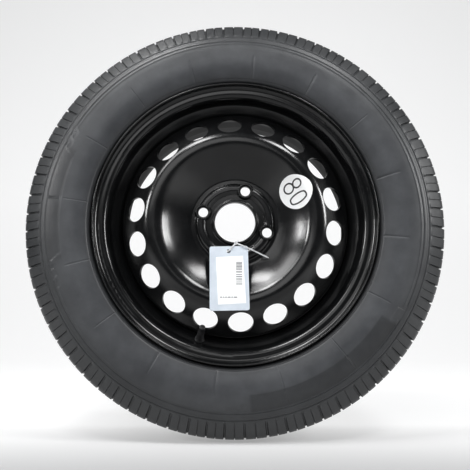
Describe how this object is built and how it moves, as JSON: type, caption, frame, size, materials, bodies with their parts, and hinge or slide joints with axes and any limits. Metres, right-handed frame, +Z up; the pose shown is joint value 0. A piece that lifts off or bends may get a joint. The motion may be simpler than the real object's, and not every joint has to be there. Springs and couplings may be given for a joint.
{
  "type": "spare wheel",
  "caption": "Spare car wheel: black steel disc wheel with round vents and a radial road tyre, snap-in valve with screw cap, round white sticker and a hang tag; bolts to a wheel hub.",
  "frame": {"origin": "centre of the wheel, on its axis, in the middle of the tyre's width", "axes": "Y along the wheel axis with the outer side facing -Y, +Z up with the wheel upright, +X to the right seen from outside"},
  "size_m": [0.6209, 0.1916, 0.621],
  "materials": {
    "tyre_rubber": "moulded road tyre rubber, slightly dusty",
    "black_paint": "gloss black stove enamel on steel",
    "black_rubber": "satin black rubber",
    "brass": "turned brass",
    "red_seal": "red sealing ring",
    "spring_steel": "bright drawn wire",
    "black_plastic": "moulded black plastic",
    "white_film": "white film sticker, black numerals",
    "grey_card": "smooth grey synthetic card",
    "white_paper": "white paper label",
    "white_nylon": "natural nylon"
  },
  "bodies": {
    "wheel": {"tyre": "tyre_rubber", "rim": "black_paint", "wheel_disc": "black_paint", "disc_welds": "black_paint", "valve_body": "black_rubber", "valve_stem": "brass", "core_plug": "brass", "core_seal": "red_seal", "core_spring": "spring_steel", "speed_sticker": "white_film", "tag_card": "grey_card", "tag_label": "white_paper", "tag_tie": "white_nylon"},
    "cap_seal": {"cap_seal": "black_rubber"},
    "valve_cap": {"valve_cap": "black_plastic"},
    "core_pin": {"core_pin": "brass", "core_cup": "brass"}
  },
  "joints": [
    {"name": "cap_lift", "type": "slide", "parent": "wheel", "child": "cap_seal", "axis": [0.1937, -0.7421, 0.6417], "range_m": [0, 0.0079]},
    {"name": "cap_turn", "type": "hinge", "parent": "cap_seal", "child": "valve_cap", "pos_m": [-0.05166, -0.04996, -0.17111], "axis": [0.1937, -0.7421, 0.6417], "range_deg": [0, 3600]},
    {"name": "pin_press", "type": "slide", "parent": "wheel", "child": "core_pin", "axis": [-0.1937, 0.7421, -0.6417], "range_m": [0, 0.001], "stiffness_N_per_m": 800, "springref_m": -0.003, "deforming": ["core_spring"]}
  ],
  "couplings": [
    {"joint": "cap_turn", "follows": "cap_lift", "rad_per_m": 7913.3}
  ]
}
